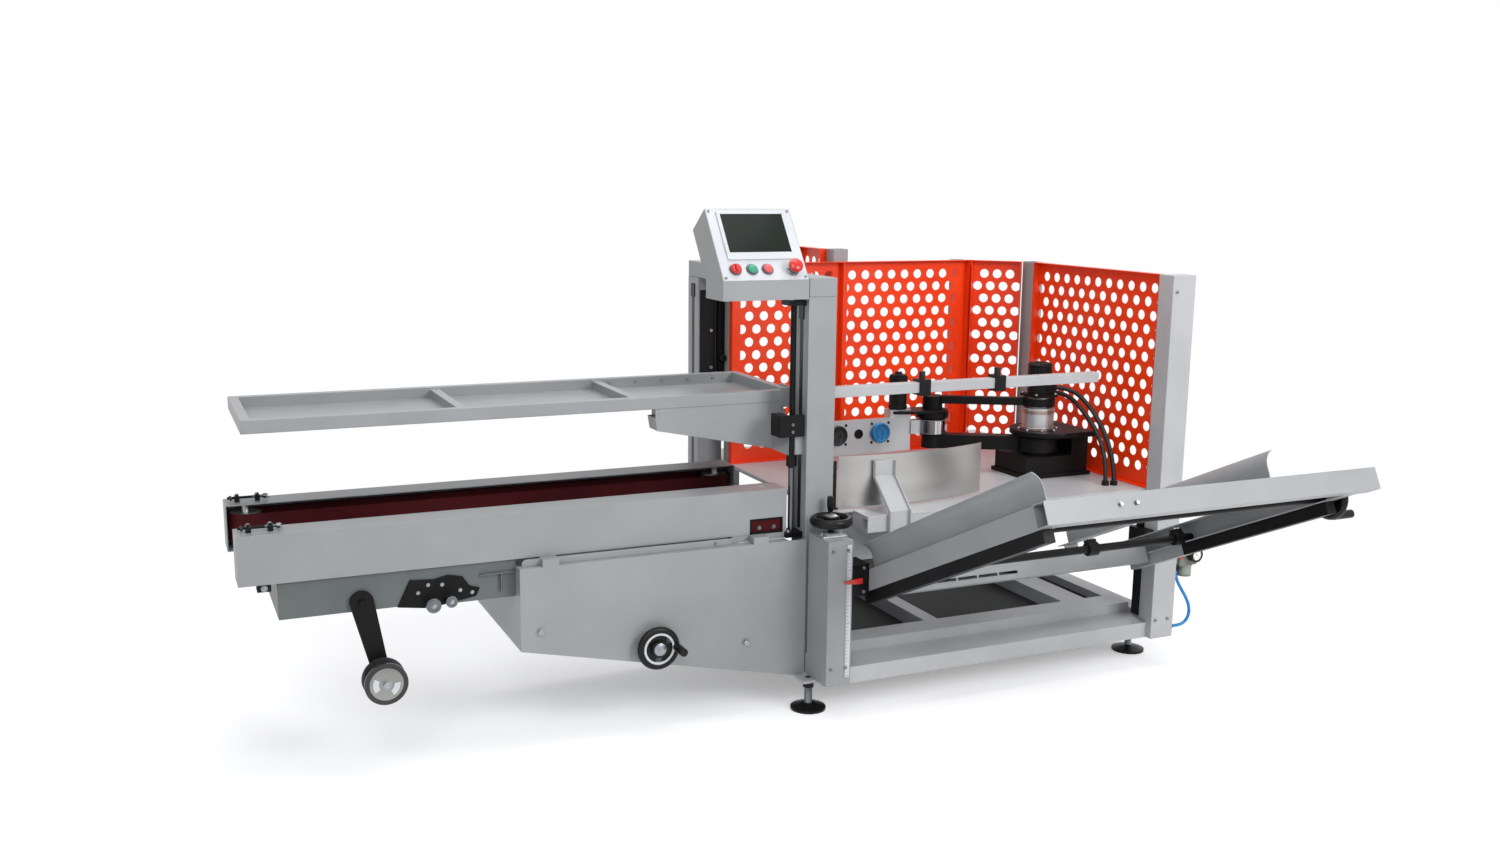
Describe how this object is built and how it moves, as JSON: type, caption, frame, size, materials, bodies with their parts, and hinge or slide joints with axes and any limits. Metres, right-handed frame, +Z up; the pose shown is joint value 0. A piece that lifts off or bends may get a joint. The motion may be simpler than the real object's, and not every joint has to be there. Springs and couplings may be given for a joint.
{
  "type": "carton erector machine",
  "caption": "Fixed carton erecting machine: sloping blank magazine, perforated guards, swing suction arm, side belt lane over a tape head, lifting top tray and operator panel.",
  "frame": {"origin": "centre of the front left levelling foot on the floor", "axes": "+X along the belts from the outfeed end to the magazine end, +Y away from the operator, +Z up"},
  "size_m": [2.7677, 1.9267, 1.382],
  "materials": {
    "powder_grey": "fine textured powder coat",
    "dark_pan": "matt dark paint",
    "deck_grey": "powder coat, lightly worn",
    "black_plastic": "moulded, satin",
    "black_steel": "black oxide and paint",
    "stainless": "brushed sheet",
    "aluminium": "milled and clear anodised",
    "belt_rubber": "ribbed dark red belt",
    "guard_red": "orange red gloss paint",
    "panel_white": "light smooth paint",
    "screen_black": "glossy touch screen",
    "button_red": "moulded, glossy",
    "cup_blue": "silicone, satin",
    "reel_clear": "moulded, glossy",
    "regulator_grey": "moulded housings",
    "hose_blue": "smooth extruded tube",
    "conduit_black": "ribbed flexible conduit"
  },
  "bodies": {
    "machine": {"base_frame": "powder_grey", "base_pan": "dark_pan", "levelling_feet": "black_plastic", "left_post": "powder_grey", "right_column": "powder_grey", "deck": "deck_grey", "side_box": "powder_grey", "portal_columns": "powder_grey", "portal_beam": "powder_grey", "tray_screw": "black_steel", "front_cover": "powder_grey", "rear_cover": "powder_grey", "front_belt": "belt_rubber", "rear_belt": "belt_rubber", "belt_pulleys": "aluminium", "belt_tensioners": "black_steel", "belt_carriers": "powder_grey", "drive_box": "powder_grey", "tape_head": "black_steel", "tape_arm": "black_steel", "hmi_box": "panel_white", "hmi_screen": "screen_black", "hmi_buttons": "button_red", "back_guard_left": "guard_red", "back_guard_right": "guard_red", "corner_guard": "guard_red", "side_guard": "guard_red", "rear_guard": "guard_red", "guard_posts": "powder_grey", "guide_bar": "aluminium", "guide_clamps": "black_plastic", "pivot_housing": "black_steel", "gearbox": "aluminium", "pivot_motor": "black_steel", "curved_guide": "stainless", "guide_bracket": "stainless", "post_slides": "black_steel", "regulator": "regulator_grey", "air_hose": "hose_blue", "motor_conduit_a": "conduit_black", "motor_conduit_b": "conduit_black"},
    "tray": {"top_tray": "powder_grey", "tray_bracket": "aluminium"},
    "magazine": {"magazine_frame": "powder_grey", "guide_rails": "powder_grey", "guide_shafts": "black_steel", "magazine_carriages": "black_steel"},
    "swing": {"swing_arms": "black_steel", "suction_plate": "aluminium", "suction_cups": "cup_blue"},
    "height_wheel": {"height_wheel": "black_plastic"},
    "lane_wheel": {"lane_wheel": "black_plastic"},
    "guide_wheel": {"guide_wheel": "black_plastic"},
    "tape_reel": {"tape_reel": "reel_clear"}
  },
  "joints": [
    {"name": "tray_lift", "type": "slide", "parent": "machine", "child": "tray", "axis": [0, 0, 1], "range_m": [-0.06, 0.2]},
    {"name": "magazine_lift", "type": "slide", "parent": "machine", "child": "magazine", "axis": [0, 0, 1], "range_m": [-0.12, 0.06]},
    {"name": "arm_swing", "type": "hinge", "parent": "machine", "child": "swing", "pos_m": [0.943, 0.279, 0.65], "axis": [0, 0, 1], "range_deg": [0, 20]},
    {"name": "height_wheel_turn", "type": "hinge", "parent": "machine", "child": "height_wheel", "pos_m": [0.0425, -0.036, 0.54], "axis": [0, 0, 1], "continuous": true},
    {"name": "lane_wheel_turn", "type": "hinge", "parent": "machine", "child": "lane_wheel", "pos_m": [-0.447, 0.01, 0.235], "axis": [0, -1, 0], "continuous": true},
    {"name": "guide_wheel_turn", "type": "hinge", "parent": "magazine", "child": "guide_wheel", "pos_m": [1.1, -0.7537, 0.67616], "axis": [1, 0, 0], "continuous": true},
    {"name": "reel_turn", "type": "hinge", "parent": "machine", "child": "tape_reel", "pos_m": [-1.154, 0.03, 0.235], "axis": [0, -1, 0], "continuous": true}
  ]
}
